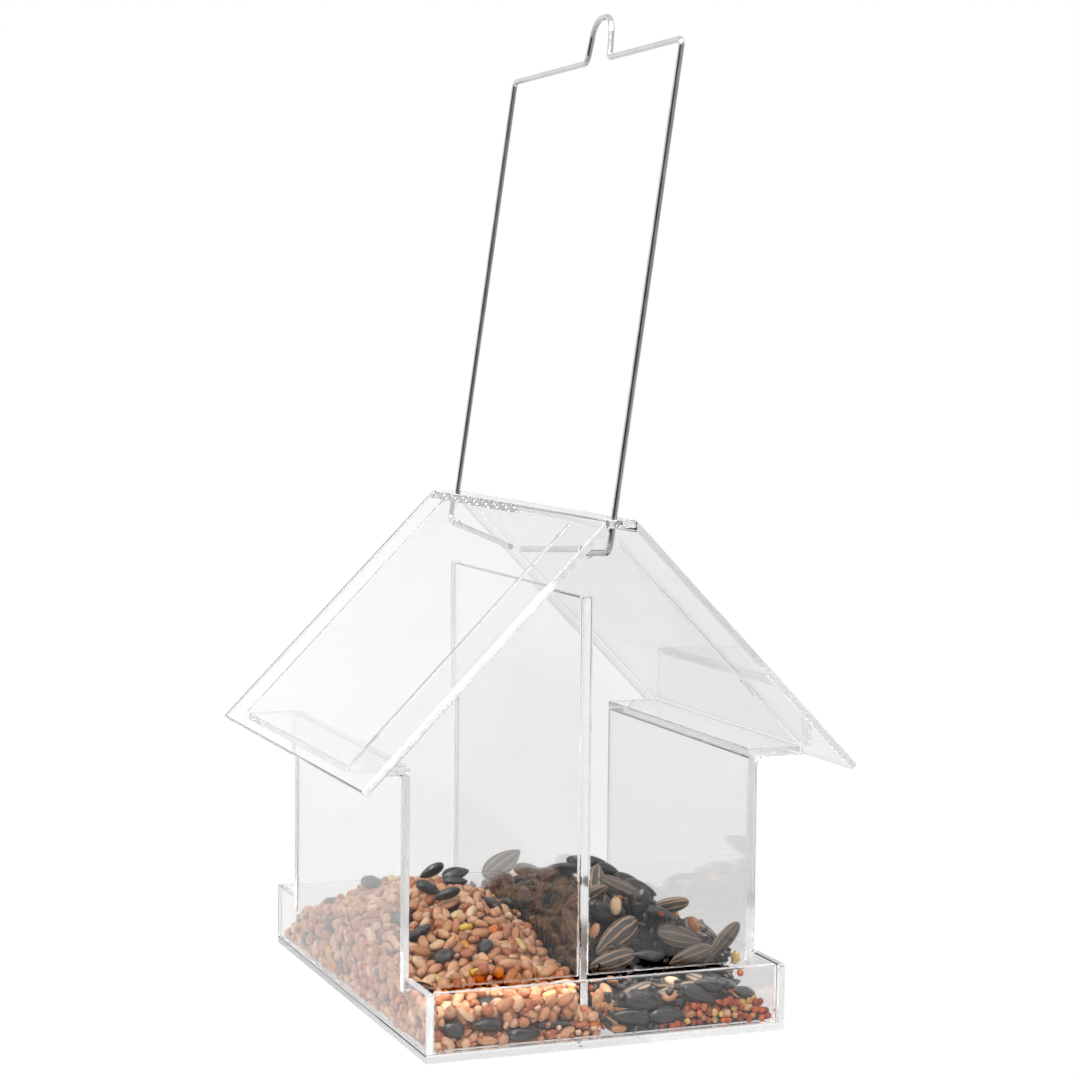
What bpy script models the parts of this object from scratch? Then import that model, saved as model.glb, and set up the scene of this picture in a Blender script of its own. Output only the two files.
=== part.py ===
"""A house-shaped hanging bird feeder of clear acrylic sheet, filled with seed and hung on a bent wire.

X runs across the feeder, Y along its ridge and Z up. The origin is the centre of the tray's underside.
The flat sheets are cut to an outline and glued edge to face. The roof lifts up along the wire hanger.
"""

import math

import bmesh
import bpy
from mathutils import Matrix, Vector

# Sheet and assembly
SHEET = 0.0025  # thickness of every acrylic sheet
GAP = 0.0003  # glue line or clearance between neighbouring pieces

# Tray
TRAY_WIDTH = 0.120
TRAY_DEPTH = 0.167
RIM_TOP = 0.0213
EDGE_BEVEL = 0.0003  # the scraped arris along a cut edge

# House walls
GABLE_FACE_Y = 0.0614  # outer face of each gable wall
GABLE_BOTTOM = 0.0170  # seed flows out under this edge
SHOULDER_Z = 0.0841  # underside of the eaves
SHOULDER_HALF_WIDTH = 0.0765
SHOULDER_FILLET = 0.0028
GABLE_TOP_RADIUS = 0.0015
DIVIDER_TOP = 0.1373

# Roof
ROOF_HALF_WIDTH = 0.0819
ROOF_EDGE_Z = 0.0848
RIDGE_HALF_WIDTH = 0.0048
RIDGE_TOP = 0.1635
ROOF_LENGTH = 0.1635
ROOF_SLID_FORWARD = -0.0062  # the loose roof and hanger sit this far towards the front

# Wire hanger
WIRE_RADIUS = 0.0010
WIRE_HOLE_RADIUS = 0.0017  # in the gable walls
ROOF_HOLE_RADIUS = 0.0027  # in the ridge strip
PIVOT_X = -0.0004
PIVOT_Z = 0.1513
HANGER_LEAN = math.radians(8.05)
LEG_FROM_CENTRE = 0.07225
HANGER_HEIGHT = 0.1600  # from the pivot to the top arms, along the legs
ARM_END_DROP = 0.0040  # the inward ends sag this much towards the middle
TIP_FRONT_Y = -0.0090
TIP_BACK_Y = 0.0018
LOOP_CENTRE_Y = -0.0115
LOOP_HALF_WIDTH = 0.0072
LOOP_HEIGHT = 0.0142
LOOP_FOOT_SPREAD = 0.0024
BEND_RADIUS = 0.0030

# Seed: heights above the tray floor's underside, and falls as a share of the distance
MIX_PEAK = 0.0373  # left of the divider, a cone poured into the middle of its side
MIX_PEAK_X = -0.0230
MIX_PEAK_Y = 0.0020
MIX_PEAK_RADIUS = 0.0040
MIX_FALL_TO_WALL = 0.32
MIX_FALL_TO_DIVIDER = 0.55
MIX_FALL_FRONT = 0.30
MIX_FALL_BACK = 0.24
HUSK_CREST = 0.0425  # right of the divider
HUSK_CREST_X = 0.0190
HUSK_CREST_Y = -0.0190
HUSK_DROP_TO_WALL = 0.0230
HUSK_FALL_TO_DIVIDER = 0.16
HUSK_ROUNDNESS = 1.28
HUSK_FALL_BACK = 0.27
HUSK_FALL_FRONT = 0.05
CREST_RADIUS = 0.012  # how softly both heaps turn over along Y
BACK_TRAY_FALL = 0.75
FRONT_TRAY_FALL = 0.08
CORNER_FALL = 1.5  # in the front tray, towards the right corner
CORNER_START_X = 0.0490
HEAP_LOWEST = 0.0042
HEAP_CELLS_ACROSS = 8
HEAP_CELLS_IN_HOUSE = 20
HEAP_CELLS_IN_TRAY = 4

CURVE_STEPS = 6  # segments in a quarter circle of a sheet's outline
CIRCLE_SIDES = 32
CUT_MARGIN = 0.002
MERGE_DISTANCE = 0.00001
SHARP_ANGLE = math.radians(60)

INNER_HALF_WIDTH = TRAY_WIDTH / 2 - SHEET
INNER_HALF_DEPTH = TRAY_DEPTH / 2 - SHEET
WALL_END_Y = GABLE_FACE_Y - SHEET - GAP
FLOOR_TOP = SHEET + GAP
ROOF_SLOPE = (RIDGE_TOP - ROOF_EDGE_Z) / (ROOF_HALF_WIDTH - RIDGE_HALF_WIDTH)
ROOF_ANGLE = math.atan(ROOF_SLOPE)
ROOF_PEAK = RIDGE_TOP + RIDGE_HALF_WIDTH * ROOF_SLOPE  # where the outer faces would meet
SHEET_DROP = SHEET / math.cos(ROOF_ANGLE)  # height of a sloping sheet, measured vertically
GABLE_PEAK = ROOF_PEAK - SHEET_DROP - GAP / math.cos(ROOF_ANGLE)
GABLE_TOP = RIDGE_TOP - SHEET - GAP


def clear_scene():
    for old in list(bpy.data.objects):
        bpy.data.objects.remove(old, do_unlink=True)


def make_material(name, colour, roughness, metallic=0.0, transmission=0.0):
    material = bpy.data.materials.new(name)
    material.use_nodes = True
    shader = material.node_tree.nodes["Principled BSDF"]
    shader.inputs["Base Color"].default_value = (*colour, 1.0)
    shader.inputs["Roughness"].default_value = roughness
    shader.inputs["Metallic"].default_value = metallic
    shader.inputs["Transmission Weight"].default_value = transmission
    shader.inputs["IOR"].default_value = 1.49
    return material


def add_object(name, mesh, material):
    made = bpy.data.objects.new(name, mesh)
    mesh.materials.append(material)
    bpy.context.scene.collection.objects.link(made)
    return made


def arc(centre, radius, start, end, steps=CURVE_STEPS):
    """Points of an arc in a plane, from angle start to angle end in radians, both ends included."""
    points = []
    for step in range(steps + 1):
        angle = start + (end - start) * step / steps
        points.append((centre[0] + radius * math.cos(angle), centre[1] + radius * math.sin(angle)))
    return points


def mirrored(points):
    """The outline's right half, followed by its mirror image, so that it closes."""
    return points + [(-x, z) for x, z in reversed(points)]


def sheet_from_outline(name, outline, thickness, placing, material):
    """A flat sheet: the outline in its own XY plane, thickened along its own Z, then placed."""
    builder = bmesh.new()
    lower = builder.faces.new([builder.verts.new((x, y, 0.0)) for x, y in outline])
    grown = bmesh.ops.extrude_face_region(builder, geom=[lower])
    raised = [item for item in grown["geom"] if isinstance(item, bmesh.types.BMVert)]
    bmesh.ops.translate(builder, verts=raised, vec=(0.0, 0.0, thickness))
    bmesh.ops.transform(builder, verts=builder.verts, matrix=placing)
    bmesh.ops.recalc_face_normals(builder, faces=builder.faces)
    mesh = bpy.data.meshes.new(name)
    builder.to_mesh(mesh)
    builder.free()
    sheet = add_object(name, mesh, material)
    bevel = sheet.modifiers.new("arris", "BEVEL")
    bevel.width = EDGE_BEVEL
    bevel.segments = 1
    bevel.limit_method = "ANGLE"
    bevel.angle_limit = SHARP_ANGLE
    return sheet


def facing_front(y):
    """Places an outline drawn in X and Z so that its sheet runs from y towards the back."""
    return Matrix(((1, 0, 0, 0), (0, 0, 1, y), (0, 1, 0, 0), (0, 0, 0, 1)))


def facing_side(x):
    """Places an outline drawn in Y and Z so that its sheet runs from x towards the right."""
    return Matrix(((0, 0, 1, x), (1, 0, 0, 0), (0, 1, 0, 0), (0, 0, 0, 1)))


def rectangle(low, high):
    return [(low[0], low[1]), (high[0], low[1]), (high[0], high[1]), (low[0], high[1])]


def drill(target, centre, direction, radius, length):
    """Cuts a round hole through the target, centred on a point and running along a direction."""
    builder = bmesh.new()
    bmesh.ops.create_cone(
        builder, cap_ends=True, segments=CIRCLE_SIDES, radius1=radius, radius2=radius, depth=length
    )
    mesh = bpy.data.meshes.new(f"{target.name}_hole_mesh")
    builder.to_mesh(mesh)
    builder.free()
    cutter = bpy.data.objects.new(f"{target.name}_hole", mesh)
    cutter.rotation_euler = Vector(direction).to_track_quat("Z", "Y").to_euler()
    cutter.location = centre
    cutter.hide_render = True
    cutter.display_type = "WIRE"
    bpy.context.scene.collection.objects.link(cutter)
    cut = target.modifiers.new("hole", "BOOLEAN")
    cut.operation = "DIFFERENCE"
    cut.solver = "EXACT"
    cut.object = cutter
    return cutter


def make_tray(acrylic):
    """The floor, and the low front and back rims that stand on it between the side walls."""
    half_width = TRAY_WIDTH / 2
    half_depth = TRAY_DEPTH / 2
    sheet_from_outline(
        "tray_floor",
        rectangle((-half_width, -half_depth), (half_width, half_depth)),
        SHEET,
        Matrix.Identity(4),
        acrylic,
    )
    rim_half = INNER_HALF_WIDTH - GAP
    rim_outline = rectangle((-rim_half, FLOOR_TOP), (rim_half, RIM_TOP))
    sheet_from_outline("tray_front_rim", rim_outline, SHEET, facing_front(-half_depth), acrylic)
    sheet_from_outline("tray_back_rim", rim_outline, SHEET, facing_front(half_depth - SHEET), acrylic)


def side_wall_outline():
    """A tall wall with a low strip running on at each end, and a slot for each gable wall's foot."""
    slot_outer = GABLE_FACE_Y + GAP
    slot_floor = GABLE_BOTTOM - GAP
    right_half = [
        (TRAY_DEPTH / 2, FLOOR_TOP),
        (TRAY_DEPTH / 2, RIM_TOP),
        (slot_outer, RIM_TOP),
        (slot_outer, slot_floor),
        (WALL_END_Y, slot_floor),
        (WALL_END_Y, SHOULDER_Z - GAP),
    ]
    return mirrored(right_half)


def make_side_walls(acrylic):
    outline = side_wall_outline()
    sheet_from_outline("left_side_wall", outline, SHEET, facing_side(-TRAY_WIDTH / 2), acrylic)
    sheet_from_outline("right_side_wall", outline, SHEET, facing_side(INNER_HALF_WIDTH), acrylic)


def gable_outline():
    """Straight body slotted from below, shoulders with a rounded inner corner, and a blunt rounded top."""
    half_width = TRAY_WIDTH / 2
    fillet_centre = (half_width + SHOULDER_FILLET, SHOULDER_Z - SHOULDER_FILLET)
    slope_foot = GABLE_PEAK - ROOF_SLOPE * SHOULDER_HALF_WIDTH
    top_half_width = (GABLE_PEAK - GABLE_TOP) / ROOF_SLOPE
    inset = GABLE_TOP_RADIUS * math.tan(ROOF_ANGLE / 2)
    top_centre = (top_half_width - inset, GABLE_TOP - GABLE_TOP_RADIUS)
    slot_half = SHEET / 2 + GAP
    right_half = [(slot_half, DIVIDER_TOP + GAP), (slot_half, GABLE_BOTTOM), (half_width, GABLE_BOTTOM)]
    right_half += arc(fillet_centre, SHOULDER_FILLET, math.pi, math.pi / 2)
    right_half += [(SHOULDER_HALF_WIDTH, SHOULDER_Z), (SHOULDER_HALF_WIDTH, slope_foot)]
    right_half += arc(top_centre, GABLE_TOP_RADIUS, math.pi / 2 - ROOF_ANGLE, math.pi / 2)
    return mirrored(right_half)


def make_gable_walls(acrylic):
    places = {"front_gable_wall": -GABLE_FACE_Y, "back_gable_wall": GABLE_FACE_Y - SHEET}
    for name, y in places.items():
        wall = sheet_from_outline(name, gable_outline(), SHEET, facing_front(y), acrylic)
        hole_centre = (0.0, y + SHEET / 2, PIVOT_Z)
        drill(wall, hole_centre, (0, 1, 0), WIRE_HOLE_RADIUS, SHEET + CUT_MARGIN)


def make_divider(acrylic):
    """Stands in the slots of both gable walls, its ends level with their outer faces."""
    outline = rectangle((-GABLE_FACE_Y, FLOOR_TOP), (GABLE_FACE_Y, DIVIDER_TOP))
    sheet_from_outline("center_divider", outline, SHEET, facing_side(-SHEET / 2), acrylic)


def make_eave_ledges(acrylic):
    """Flat ledges that close the underside of the eaves, lying on the side walls' top edges."""
    outer = (GABLE_PEAK - SHOULDER_Z - SHEET) / ROOF_SLOPE
    for name, side in (("left_eave_ledge", -1), ("right_eave_ledge", 1)):
        ends = sorted((side * INNER_HALF_WIDTH, side * outer))
        outline = rectangle((ends[0], -WALL_END_Y), (ends[1], WALL_END_Y))
        placing = Matrix.Translation((0.0, 0.0, SHOULDER_Z))
        sheet_from_outline(name, outline, SHEET, placing, acrylic)


def roof_panel_outline(side):
    """A sloping sheet seen from the end: square-cut at the eave, cut upright beside the ridge strip."""
    top_x = RIDGE_HALF_WIDTH + GAP
    inward = SHEET * math.sin(ROOF_ANGLE)
    downward = SHEET * math.cos(ROOF_ANGLE)
    outline = [
        (top_x, ROOF_PEAK - ROOF_SLOPE * top_x),
        (ROOF_HALF_WIDTH, ROOF_EDGE_Z),
        (ROOF_HALF_WIDTH - inward, ROOF_EDGE_Z - downward),
        (top_x, ROOF_PEAK - SHEET_DROP - ROOF_SLOPE * top_x),
    ]
    return [(side * x, z) for x, z in outline]


def make_roof(acrylic):
    front = ROOF_SLID_FORWARD - ROOF_LENGTH / 2
    for name, side in (("roof_left_panel", -1), ("roof_right_panel", 1)):
        outline = roof_panel_outline(side)
        sheet_from_outline(name, outline, ROOF_LENGTH, facing_front(front), acrylic)
    outline = rectangle((-RIDGE_HALF_WIDTH, RIDGE_TOP - SHEET), (RIDGE_HALF_WIDTH, RIDGE_TOP))
    strip = sheet_from_outline("roof_ridge_strip", outline, ROOF_LENGTH, facing_front(front), acrylic)
    for end in (-1, 1):
        centre = (0.0, ROOF_SLID_FORWARD + end * LEG_FROM_CENTRE, RIDGE_TOP - SHEET / 2)
        drill(strip, centre, (0, 0, 1), ROOF_HOLE_RADIUS, SHEET + CUT_MARGIN)


def rounded_path(corners):
    """A path through corner points given as (point, bend radius), each corner rounded to its radius."""
    path = [Vector(corners[0][0])]
    for before, (corner, radius), after in zip(corners, corners[1:], corners[2:]):
        corner = Vector(corner)
        to_before = (Vector(before[0]) - corner).normalized()
        to_after = (Vector(after[0]) - corner).normalized()
        half_angle = to_before.angle(to_after) / 2
        middle = (to_before + to_after).normalized()
        centre = corner + middle * radius / math.sin(half_angle)
        start = corner + to_before * radius / math.tan(half_angle) - centre
        end = corner + to_after * radius / math.tan(half_angle) - centre
        for step in range(CURVE_STEPS + 1):
            path.append(centre + start.slerp(end, step / CURVE_STEPS).normalized() * radius)
    path.append(Vector(corners[-1][0]))
    return path


def hanger_corners():
    """The wire's corners in the hanger's own plane, Y along the ridge and Z up the legs from the pivot."""
    front = ROOF_SLID_FORWARD - LEG_FROM_CENTRE
    back = ROOF_SLID_FORWARD + LEG_FROM_CENTRE
    wall = GABLE_FACE_Y - SHEET / 2
    front_rise = ARM_END_DROP / (TIP_FRONT_Y + wall) * (-wall - front)
    back_rise = ARM_END_DROP / (wall - TIP_BACK_Y) * (back - wall)
    loop_front = LOOP_CENTRE_Y - LOOP_HALF_WIDTH
    loop_back = LOOP_CENTRE_Y + LOOP_HALF_WIDTH
    crown = HANGER_HEIGHT + LOOP_HEIGHT
    crown_radius = LOOP_HALF_WIDTH - WIRE_RADIUS / 2
    corners = [
        (TIP_FRONT_Y, -ARM_END_DROP, 0.0),
        (front, front_rise, BEND_RADIUS),
        (front, HANGER_HEIGHT, BEND_RADIUS * 0.7),
        (loop_front - LOOP_FOOT_SPREAD, HANGER_HEIGHT, BEND_RADIUS * 0.5),
        (loop_front, crown, crown_radius),
        (loop_back, crown, crown_radius),
        (loop_back + LOOP_FOOT_SPREAD, HANGER_HEIGHT, BEND_RADIUS),
        (back, HANGER_HEIGHT, BEND_RADIUS * 0.7),
        (back, back_rise, BEND_RADIUS),
        (TIP_BACK_Y, -ARM_END_DROP, 0.0),
    ]
    return [((0.0, y, z), radius) for y, z, radius in corners]


def make_hanger(steel):
    """One bent wire: its ends pass through the gable walls, its legs through the ridge strip."""
    path = rounded_path(hanger_corners())
    curve = bpy.data.curves.new("wire_hanger", "CURVE")
    curve.dimensions = "3D"
    curve.bevel_depth = WIRE_RADIUS
    curve.bevel_resolution = 3
    curve.use_fill_caps = True
    spline = curve.splines.new("POLY")
    spline.points.add(len(path) - 1)
    for point, place in zip(spline.points, path):
        point.co = (*place, 1.0)
    curve.materials.append(steel)
    pivot = bpy.data.objects.new("hanger_pivot", None)
    pivot.location = (PIVOT_X, 0.0, PIVOT_Z)
    pivot.rotation_euler = (0.0, HANGER_LEAN, 0.0)
    hanger = bpy.data.objects.new("wire_hanger", curve)
    hanger.parent = pivot
    for item in (pivot, hanger):
        bpy.context.scene.collection.objects.link(item)


def eased(distance, radius):
    """The distance, but starting softly from zero over about the radius."""
    return math.hypot(distance, radius) - radius


def mix_in_house(x, y):
    """The seed mix between the gable walls: a cone that ends at the gables' lower edges."""
    from_peak = x - MIX_PEAK_X
    fall = MIX_FALL_TO_DIVIDER if from_peak > 0 else MIX_FALL_TO_WALL
    across = fall * eased(from_peak, MIX_PEAK_RADIUS)
    from_peak = y - MIX_PEAK_Y
    fall = MIX_FALL_BACK if from_peak > 0 else MIX_FALL_FRONT
    along = fall * eased(from_peak, CREST_RADIUS)
    return max(MIX_PEAK - across - along, GABLE_BOTTOM + GAP)


def husks_in_house(x, y):
    """The sunflower seed between the gable walls: a crest that falls to both sides and the back."""
    if x > HUSK_CREST_X:
        share = (x - HUSK_CREST_X) / (INNER_HALF_WIDTH - HUSK_CREST_X)
        across = HUSK_DROP_TO_WALL * share ** HUSK_ROUNDNESS
    else:
        across = HUSK_FALL_TO_DIVIDER * (HUSK_CREST_X - x)
    from_crest = y - HUSK_CREST_Y
    fall = HUSK_FALL_BACK if from_crest > 0 else HUSK_FALL_FRONT
    along = fall * eased(from_crest, CREST_RADIUS)
    return max(HUSK_CREST - across - along, GABLE_BOTTOM + GAP)


def heap_in_house(x, y):
    return mix_in_house(x, y) if x < 0 else husks_in_house(x, y)


def heap_in_tray(x, y):
    """The seed's surface outside the gable walls, where it has run out under them."""
    from_wall = abs(y) - GABLE_FACE_Y
    height = min(GABLE_BOTTOM - GAP, heap_in_house(x, y))
    height -= (BACK_TRAY_FALL if y > 0 else FRONT_TRAY_FALL) * from_wall
    if y < 0:
        height -= CORNER_FALL * max(0.0, x - CORNER_START_X)
    return max(height, HEAP_LOWEST)


def heap_profile(x):
    """The surface from front to back at one x, as (y, z), stepping down to pass under each gable wall."""
    tray_end = INNER_HALF_DEPTH - GAP
    tray_start = GABLE_FACE_Y + GAP
    profile = []
    for step in range(HEAP_CELLS_IN_TRAY + 1):
        y = -tray_end + (tray_end - tray_start) * step / HEAP_CELLS_IN_TRAY
        profile.append((y, heap_in_tray(x, y)))
    front_tray_height = profile[-1][1]
    profile.append((-WALL_END_Y, front_tray_height))
    for step in range(HEAP_CELLS_IN_HOUSE + 1):
        y = WALL_END_Y * (2 * step / HEAP_CELLS_IN_HOUSE - 1)
        profile.append((y, heap_in_house(x, y)))
    back_tray_height = heap_in_tray(x, tray_start)
    profile.append((WALL_END_Y, back_tray_height))
    for step in range(HEAP_CELLS_IN_TRAY + 1):
        y = tray_start + (tray_end - tray_start) * step / HEAP_CELLS_IN_TRAY
        profile.append((y, heap_in_tray(x, y)))
    return profile


def make_heap(name, side, seed_colour):
    """A closed solid with the seed's outer shape, stepped where it passes under each gable wall."""
    x_near = side * (SHEET / 2 + GAP)
    x_far = side * (INNER_HALF_WIDTH - GAP)
    builder = bmesh.new()
    rows = []
    for step in range(HEAP_CELLS_ACROSS + 1):
        x = x_near + (x_far - x_near) * step / HEAP_CELLS_ACROSS
        rows.append([builder.verts.new((x, y, z)) for y, z in heap_profile(x)])
    for near, far in zip(rows, rows[1:]):
        for j in range(len(near) - 1):
            builder.faces.new((near[j], far[j], far[j + 1], near[j + 1]))
    rim = [edge for edge in builder.edges if edge.is_boundary]
    skirt = bmesh.ops.extrude_edge_only(builder, edges=rim)
    lowered = [item for item in skirt["geom"] if isinstance(item, bmesh.types.BMVert)]
    for vert in lowered:
        vert.co.z = FLOOR_TOP
    bmesh.ops.remove_doubles(builder, verts=lowered, dist=MERGE_DISTANCE)
    bottom_rim = [edge for edge in builder.edges if edge.is_boundary]
    bmesh.ops.contextual_create(builder, geom=bottom_rim)
    bmesh.ops.recalc_face_normals(builder, faces=builder.faces)
    mesh = bpy.data.meshes.new(name)
    builder.to_mesh(mesh)
    builder.free()
    add_object(name, mesh, make_material(name, seed_colour, 0.7))


def main():
    clear_scene()
    acrylic = make_material("clear_acrylic", (0.96, 0.97, 0.97), 0.03, transmission=1.0)
    steel = make_material("galvanised_wire", (0.55, 0.55, 0.54), 0.3, metallic=1.0)
    make_tray(acrylic)
    make_side_walls(acrylic)
    make_gable_walls(acrylic)
    make_divider(acrylic)
    make_eave_ledges(acrylic)
    make_roof(acrylic)
    make_hanger(steel)
    make_heap("seed_mix_heap", -1, (0.62, 0.38, 0.22))
    make_heap("sunflower_seed_heap", 1, (0.12, 0.10, 0.09))


main()
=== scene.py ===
"""Looks for the hanging bird feeder: clear acrylic sheet, bent wire and loose seed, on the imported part."""

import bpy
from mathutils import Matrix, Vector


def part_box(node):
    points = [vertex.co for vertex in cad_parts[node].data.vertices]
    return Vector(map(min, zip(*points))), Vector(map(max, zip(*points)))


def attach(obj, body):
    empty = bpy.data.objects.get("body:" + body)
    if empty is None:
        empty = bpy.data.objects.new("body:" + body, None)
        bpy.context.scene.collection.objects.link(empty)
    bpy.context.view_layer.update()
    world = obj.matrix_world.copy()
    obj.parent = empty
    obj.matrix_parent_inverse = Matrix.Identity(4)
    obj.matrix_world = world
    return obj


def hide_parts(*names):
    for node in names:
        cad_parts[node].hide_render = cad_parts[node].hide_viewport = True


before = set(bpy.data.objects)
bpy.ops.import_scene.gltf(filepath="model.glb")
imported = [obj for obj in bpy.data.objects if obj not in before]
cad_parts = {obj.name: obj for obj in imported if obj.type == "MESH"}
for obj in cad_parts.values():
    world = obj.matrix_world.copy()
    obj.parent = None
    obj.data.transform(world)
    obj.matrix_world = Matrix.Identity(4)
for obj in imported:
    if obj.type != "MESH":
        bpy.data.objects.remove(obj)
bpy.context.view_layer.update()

import copy
import math

import bpy
import numpy as np
from mathutils import Matrix, Vector
from mathutils.bvhtree import BVHTree

MM = 0.001
ALONG_X, ALONG_Y, ALONG_Z = (1.0, 0.0, 0.0), (0.0, 1.0, 0.0), (0.0, 0.0, 1.0)
UP, DOWN = Vector((0, 0, 1)), Vector((0, 0, -1))

# Camera, at the photograph's viewing angle
CAMERA_PLACE = (-0.30175, -0.79591, 0.21515)
CAMERA_HEADING = math.radians(21.24)  # to the right of +Y
CAMERA_DOWN = math.radians(4.31)
CAMERA_ROLL = math.radians(0.57)
CAMERA_LENS = 84.944
SENSOR_WIDTH = 36.0

# Brightness seen in each direction: 1 is the white of the backdrop
BACKDROP = 1.0
ROOM = 0.60
LEFT_GLOW = 1.25
# Each light over the room: heading to the right of +Y, height above level, the angle within which it
# is whole, the angle where it is gone, all in degrees, and its brightness
LIGHTS = (
    (8, 10, 62, 80, BACKDROP),
    (-30, -2, 22, 36, LEFT_GLOW),
    (-159, -6, 30, 52, 0.10),  # the dark room behind the camera
    (0, 90, 34, 44, 1.1),  # overhead
    (-152, 52, 20, 27, 9.5),  # key light
    (125, 40, 20, 30, 2.0),  # fill light
    (-88, 24, 18, 30, 3.0),  # side light
)
BLACK_LEVEL = 0.02
SHEET_BOUNCES = 40  # light runs a long way inside clear sheet before it comes out at a cut edge
ALL_BOUNCES = 48

# Floor: a glowing light table, with painted shade ahead of the feeder and a painted glow to the left
FLOOR_Z = -0.0004
FLOOR_RADIUS = 2.5
FLOOR_SIDES = 64
FLOOR_DARK_AHEAD, FLOOR_LIT_AHEAD = -0.170, -0.112  # along the camera's heading, from the origin
FLOOR_GLOW_X, FLOOR_PLAIN_X = -0.60, -0.06

# Seed beds
GABLES = ("front_gable_wall", "back_gable_wall")
TRIANGLES_PER_PIECE = 180000
CELL = 0.005  # of the grid that finds a ball's neighbours
PAST_DIVIDER = 0.0015  # how far the seed outside the house reaches past the divider's face
FROM_GABLE = 0.001  # the heap's height beside a gable wall is read this far from it
FROM_SIDE = 0.001  # and beside any other side this far in from it
FROM_EDGE = 0.0001  # and never nearer the heap's edge than this
TOP_STEP = 0.002  # for measuring the heap's slope
STEEPEST = 1.5  # a steeper slope is an end of the heap, and seeds there lie flat
BELOW_GABLE = 0.006  # seeds against a gable wall are tried down to this far below its bottom edge
UNDER_GABLE_AHEAD, UNDER_GABLE_BEHIND, UNDER_GABLE_DOWN = 0.003, 0.004, 0.009
SHEET_CLEARANCE = 0.0002
INTO_FLOOR = 0.0003
# A gully runs forward from the divider's front end, leaving the end bare above this height.
GULLY_HALF, GULLY_FLOOR, GULLY_RISE, GULLY_TURN = 0.0019, 0.0085, 0.20, -0.41

# The core under the loose seed, drawn in from the CAD heap: a dark body that puts painted shade into the
# gaps between the seeds
CORE_ACROSS, CORE_ALONG = 10, 40
CORE_FROM_WALLS, CORE_FROM_TOP = 0.0060, 0.0055
CORE_FOOT_FROM_WALLS, CORE_FROM_FLOOR = 0.0014, 0.0003
CORE_THINNEST = 0.0005

# Seeds laid one by one: place in mm; heading, dip and roll in degrees; scale along each axis.
# The large striped ones lie on the right heap, towards the front.
STRIPED_ON_TOP = [
    ((13.5, -55.3, 27.5), 180, 35, 82, (1.10, 1.12, 1.0)),
    ((11.5, -55.6, 19.8), 180, 12, 80, (1.05, 0.9, 0.9)),
    ((51.0, -54.5, 22.5), 180, 46, 64, (1.10, 0.85, 1.0)),
    ((35.5, -55.0, 26.0), 4, 16, 62, (1.05, 0.9, 1.0)),
    ((47.0, -48.0, 25.0), 12, 28, 40, (1.05, 1.1, 1.0)),
    ((36.5, -42.0, 33.0), 172, 8, 45, (1.0, 0.9, 1.0)),
    ((39.0, -55.8, 19.4), 184, 14, 76, (1.0, 0.8, 0.9)),
    ((21.0, -42.0, 40.0), -8, 26, 40, (1.1, 0.7, 1.0)),
    ((7.0, -46.0, 39.0), 150, 30, 40, (0.9, 0.9, 1.0)),
    ((10.6, 38.0, 33.4), 20, -24, 50, (1.15, 0.95, 1.0)),
    ((4.6, -30.0, 34.0), 90, 40, 90, (0.9, 0.9, 0.9)),
    ((4.4, -42.0, 30.0), 90, -30, 90, (1.0, 0.8, 0.9)),
]
# The black ones lie on each heap or stand against the left wall and the front of the tray.
BLACK_IN_THE_MIX = [
    ((-26.3, 12.0, 38.2), 190, 20, 50, (0.85, 0.95, 1.0)),
    ((-20.8, 3.0, 38.8), 0, -8, 40, (0.85, 0.9, 0.9)),
    ((-21.5, 1.0, 36.6), 8, 6, 30, (0.8, 0.8, 0.9)),
    ((-33.3, -5.0, 36.4), 0, 24, 40, (0.80, 0.85, 1.0)),
    ((-29.6, -13.0, 35.6), 178, 16, 40, (0.85, 0.8, 1.0)),
    ((-36.4, 40.0, 29.4), 20, 6, 50, (0.8, 0.9, 1.0)),
    ((-55.2, 27.5, 19.5), 90, -35, 90, (0.75, 1.0, 0.9)),
    ((-55.2, 57.0, 7.0), 90, 20, 90, (0.75, 0.9, 0.9)),
    ((-55.2, 12.0, 7.5), 90, 10, 90, (0.75, 0.9, 0.9)),
    ((-50.0, -78.5, 8.8), 180, -20, 82, (0.65, 0.9, 0.9)),
    ((-38.7, -78.4, 9.4), 180, -4, 80, (0.85, 0.75, 0.9)),
    ((-27.0, -78.5, 5.6), 0, 2, 84, (0.95, 0.8, 0.9)),
]
BLACK_ON_TOP = [
    ((20.5, -14.0, 43.6), 4, 8, 25, (1.15, 0.9, 1.0)),
    ((27.0, -16.0, 40.5), 8, 26, 35, (0.95, 0.9, 1.0)),
    ((32.5, -20.0, 37.4), 2, 22, 35, (1.0, 0.9, 1.0)),
    ((31.0, -34.0, 37.6), 6, 24, 45, (1.15, 1.0, 1.0)),
    ((11.6, -18.0, 42.6), 172, -4, 30, (1.1, 1.0, 1.0)),
    ((4.6, -20.0, 41.6), 20, -4, 35, (0.9, 1.0, 1.0)),
    ((7.0, 4.0, 38.2), 10, 6, 35, (0.9, 1.0, 1.0)),
    ((13.0, -78.3, 12.6), 8, 14, 78, (1.15, 1.1, 0.9)),
    ((8.5, -78.4, 7.6), 172, -6, 80, (1.15, 1.0, 0.9)),
    ((21.0, -78.4, 7.2), 4, 4, 80, (1.1, 0.95, 0.9)),
    ((32.0, -78.3, 12.8), 4, 26, 80, (1.2, 0.8, 0.9)),
]
MAIZE_BY_THE_WALL = ((55.5, -55.5, 17.5), 60, 20, 80, (1.35, 1.4, 1.5))


# ---------------------------------------------------------------- node helpers


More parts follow.
